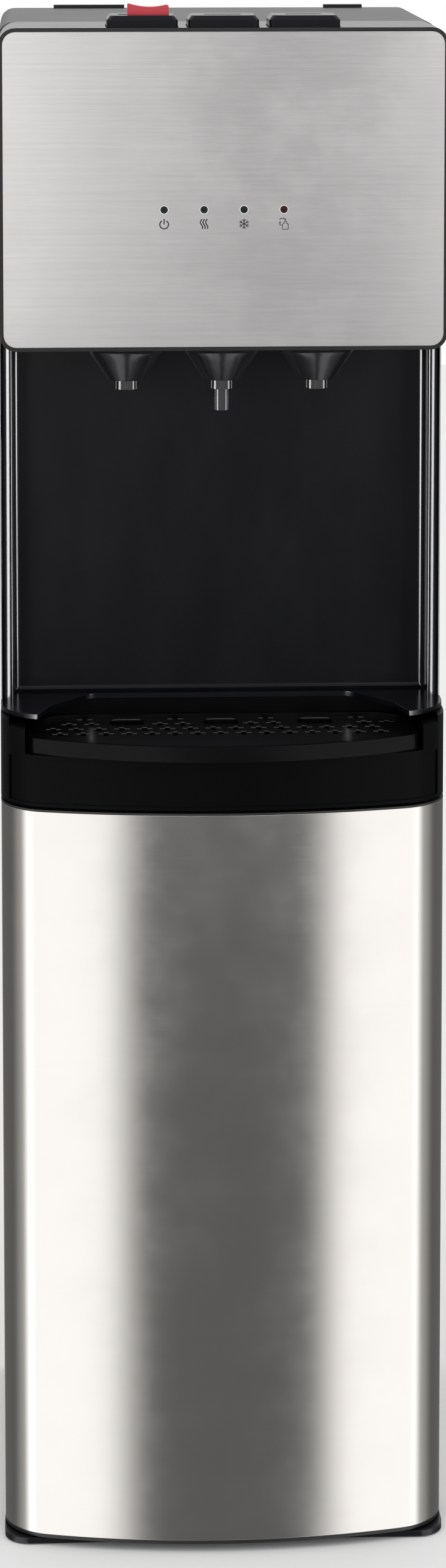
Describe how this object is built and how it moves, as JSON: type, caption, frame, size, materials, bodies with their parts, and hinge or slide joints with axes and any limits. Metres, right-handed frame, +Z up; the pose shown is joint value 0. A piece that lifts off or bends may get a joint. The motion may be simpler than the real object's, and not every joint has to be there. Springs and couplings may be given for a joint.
{
  "type": "water cooler",
  "caption": "Free-standing bottom-loading water cooler with top push buttons, drip tray, bowed steel door and bottle bay.",
  "frame": {"origin": "centre of the footprint, on the floor under the foot pads", "axes": "+Z up, the front faces -Y, +X to the right seen from the front"},
  "size_m": [0.31, 0.36, 1.0825],
  "materials": {
    "black_plastic": "glossy",
    "rubber_black": "matte",
    "panel_paint": "satin",
    "galvanised": "satin",
    "head_steel": "brushed",
    "door_steel": "polished",
    "lamp_lens": "glossy",
    "board_green": "satin",
    "grey_plastic": "satin",
    "white_plastic": "satin",
    "dark_plastic": "satin",
    "black_paint": "satin",
    "tank_steel": "satin",
    "copper_tube": "satin",
    "foam_white": "matte",
    "foam_grey": "matte",
    "heater_band": "satin",
    "hose_silicone": "satin",
    "red_plastic": "glossy",
    "green_plastic": "glossy",
    "blue_plastic": "glossy"
  },
  "bodies": {
    "cabinet": {"base_plinth": "black_plastic", "foot_pads": "rubber_black", "left_side_panel": "panel_paint", "right_side_panel": "panel_paint", "back_panel": "panel_paint", "service_panel": "panel_paint", "compressor_shelf": "galvanised", "tank_shelf": "galvanised", "niche_panel": "black_plastic", "tray_bezel": "black_plastic", "head_housing": "black_plastic", "head_plate": "head_steel", "indicator_lamps": "lamp_lens", "indicator_board": "board_green", "rear_top_cover": "grey_plastic", "rear_top_tabs": "black_plastic", "tap_shrouds": "black_plastic", "tap_nozzles": "black_plastic", "centre_spout": "black_plastic", "tap_valves": "white_plastic", "compressor": "black_paint", "compressor_feet": "rubber_black", "condenser": "black_paint", "cold_tank": "tank_steel", "evaporator": "copper_tube", "cold_tank_foam": "foam_white", "hot_tank": "tank_steel", "hot_tank_heater": "heater_band", "hot_tank_jacket": "foam_grey", "water_pump": "dark_plastic", "water_hoses": "hose_silicone", "drain_outlets": "white_plastic", "control_box": "white_plastic", "switch_housing": "black_plastic", "cord_gland": "rubber_black", "door_hinges": "galvanised", "door_catch": "dark_plastic", "lance_clip": "white_plastic", "screws": "galvanised", "hot_spring": "galvanised", "room_spring": "galvanised", "cold_spring": "galvanised", "lance_hose": "hose_silicone"},
    "door": {"door_skin": "door_steel", "door_liner": "dark_plastic", "door_end_caps": "black_plastic"},
    "hot_button": {"hot_button": "black_plastic", "hot_rod": "white_plastic"},
    "room_button": {"room_button": "black_plastic", "room_rod": "white_plastic"},
    "cold_button": {"cold_button": "black_plastic", "cold_rod": "white_plastic"},
    "child_lock": {"child_lock": "red_plastic"},
    "drip_tray": {"drip_tray": "black_plastic"},
    "drip_grille": {"drip_grille": "black_plastic"},
    "heat_rocker": {"heat_rocker": "red_plastic"},
    "cool_rocker": {"cool_rocker": "green_plastic"},
    "hot_drain_cap": {"hot_drain_cap": "red_plastic"},
    "cold_drain_cap": {"cold_drain_cap": "blue_plastic"},
    "suction_lance": {"suction_lance": "white_plastic"}
  },
  "joints": [
    {"name": "door_hinge", "type": "hinge", "parent": "cabinet", "child": "door", "pos_m": [0.143, -0.10999, 0], "axis": [0, 0, 1], "range_deg": [0, 105]},
    {"name": "hot_button_push", "type": "slide", "parent": "cabinet", "child": "hot_button", "axis": [0, 0, -1], "range_m": [0, 0.004], "stiffness_N_per_m": 500, "springref_m": -0.004, "deforming": ["hot_spring"]},
    {"name": "room_button_push", "type": "slide", "parent": "cabinet", "child": "room_button", "axis": [0, 0, -1], "range_m": [0, 0.004], "stiffness_N_per_m": 500, "springref_m": -0.004, "deforming": ["room_spring"]},
    {"name": "cold_button_push", "type": "slide", "parent": "cabinet", "child": "cold_button", "axis": [0, 0, -1], "range_m": [0, 0.004], "stiffness_N_per_m": 500, "springref_m": -0.004, "deforming": ["cold_spring"]},
    {"name": "child_lock_slide", "type": "slide", "parent": "hot_button", "child": "child_lock", "axis": [-1, 0, 0], "range_m": [0, 0.006]},
    {"name": "drip_tray_slide", "type": "slide", "parent": "cabinet", "child": "drip_tray", "axis": [0, -1, 0], "range_m": [0, 0.12]},
    {"name": "drip_grille_lift", "type": "slide", "parent": "drip_tray", "child": "drip_grille", "axis": [0, 0, 1], "range_m": [0, 0.01]},
    {"name": "heat_rocker_tilt", "type": "hinge", "parent": "cabinet", "child": "heat_rocker", "pos_m": [0.096, 0.174, 1.03], "axis": [0, 0, 1], "range_deg": [0, 14]},
    {"name": "cool_rocker_tilt", "type": "hinge", "parent": "cabinet", "child": "cool_rocker", "pos_m": [0.124, 0.174, 1.03], "axis": [0, 0, 1], "range_deg": [0, 14]},
    {"name": "hot_drain_cap_pull", "type": "slide", "parent": "cabinet", "child": "hot_drain_cap", "axis": [0, 1, 0], "range_m": [0, 0.02]},
    {"name": "cold_drain_cap_pull", "type": "slide", "parent": "cabinet", "child": "cold_drain_cap", "axis": [0, 1, 0], "range_m": [0, 0.02]},
    {"name": "lance_lift", "type": "slide", "parent": "cabinet", "child": "suction_lance", "axis": [0, 0, 1], "range_m": [0, 0.02], "deforming": ["lance_hose"]}
  ]
}
